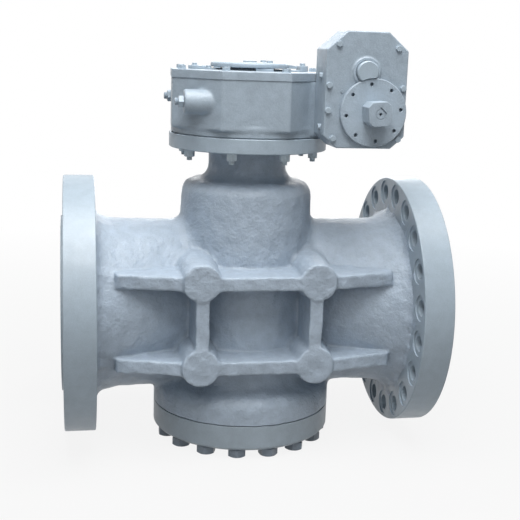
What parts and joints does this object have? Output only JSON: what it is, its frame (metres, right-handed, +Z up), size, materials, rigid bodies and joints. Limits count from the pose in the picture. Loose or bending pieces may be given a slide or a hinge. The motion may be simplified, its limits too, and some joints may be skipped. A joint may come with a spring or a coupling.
{
  "type": "gear operated plug valve",
  "caption": "Flanged plug valve with a ribbed cast body, a bolted bottom cover and a worm gear operator with a spur reduction box and a square input shaft.",
  "frame": {"origin": "centre of the bounding box at the underside, the plane of the bottom cover's bolt heads that the valve stands on; the stem axis rises from it and crosses the pipe axis 370 mm up", "axes": "+X along the pipe axis, -Y towards the gear operator's input shaft, +Z up along the stem"},
  "size_m": [0.9906, 0.6858, 1.104],
  "materials": {
    "painted_casting": "semi-gloss blue-grey enamel over rough sand casting",
    "painted_machined": "semi-gloss blue-grey enamel over smooth turned steel",
    "painted_fastener": "thin blue-grey enamel over dark steel, worn on the edges",
    "bronze": "turned bearing bronze",
    "graphite": "pressed graphite, matte black",
    "gear_steel": "cut and oiled gear steel",
    "machined_steel": "ground steel"
  },
  "bodies": {
    "valve_body": {"body_casting": "painted_casting", "bottom_cover": "painted_casting", "cover_gasket": "graphite", "thrust_pad": "bronze", "adjusting_screw": "machined_steel", "adjusting_screw_nut": "painted_machined", "stem_bush": "bronze", "stem_packing": "graphite", "packing_gland": "machined_steel", "gear_housing": "painted_casting", "housing_cover": "painted_casting", "indicator_plate": "painted_machined", "lower_sector_bush": "bronze", "upper_sector_bush": "bronze", "worm_bush_front": "bronze", "worm_bush_rear": "bronze", "worm_end_cap": "painted_machined", "stop_screw_closed": "machined_steel", "stop_screw_open": "machined_steel", "stop_nut_closed": "painted_machined", "stop_nut_open": "painted_machined", "reduction_case": "painted_casting", "reduction_cover": "painted_casting", "input_flange": "painted_machined", "layshaft_cap": "painted_machined", "layshaft_bush": "bronze", "cover_bolt_01": "painted_fastener", "cover_bolt_02": "painted_fastener", "cover_bolt_03": "painted_fastener", "cover_bolt_04": "painted_fastener", "cover_bolt_05": "painted_fastener", "cover_bolt_06": "painted_fastener", "cover_bolt_07": "painted_fastener", "cover_bolt_08": "painted_fastener", "cover_bolt_09": "painted_fastener", "cover_bolt_10": "painted_fastener", "cover_bolt_11": "painted_fastener", "cover_bolt_12": "painted_fastener", "cover_bolt_13": "painted_fastener", "cover_bolt_14": "painted_fastener", "cover_bolt_15": "painted_fastener", "cover_bolt_16": "painted_fastener", "flange_stud_1": "painted_machined", "flange_stud_2": "painted_machined", "flange_stud_3": "painted_machined", "flange_stud_4": "painted_machined", "flange_stud_5": "painted_machined", "flange_stud_6": "painted_machined", "flange_stud_7": "painted_machined", "flange_stud_8": "painted_machined"},
    "plug_train": {"plug": "machined_steel", "stem": "machined_steel", "sector_gear": "gear_steel", "sector_key": "machined_steel", "position_pointer": "painted_machined"},
    "worm_train": {"worm_shaft": "machined_steel", "output_gear": "gear_steel"},
    "lay_train": {"lay_shaft": "machined_steel", "lay_gear": "gear_steel"},
    "input_train": {"input_shaft": "painted_machined"}
  },
  "joints": [
    {"name": "plug_turn", "type": "hinge", "parent": "valve_body", "child": "plug_train", "pos_m": [0, 0, 0.37], "axis": [0, 0, -1], "range_deg": [0, 90]},
    {"name": "worm_spin", "type": "hinge", "parent": "valve_body", "child": "worm_train", "pos_m": [0.225, 0, 0.909], "axis": [0, 1, 0], "range_deg": [0, 3600]},
    {"name": "lay_spin", "type": "hinge", "parent": "valve_body", "child": "lay_train", "pos_m": [0.2445, 0, 1.00708], "axis": [0, -1, 0], "range_deg": [0, 6700]},
    {"name": "input_spin", "type": "hinge", "parent": "valve_body", "child": "input_train", "pos_m": [0.264, 0, 0.909], "axis": [0, 1, 0], "range_deg": [0, 12420]}
  ],
  "couplings": [
    {"joint": "worm_spin", "follows": "plug_turn", "ratio": 40},
    {"joint": "lay_spin", "follows": "plug_turn", "ratio": 74.286},
    {"joint": "input_spin", "follows": "plug_turn", "ratio": 137.96}
  ]
}
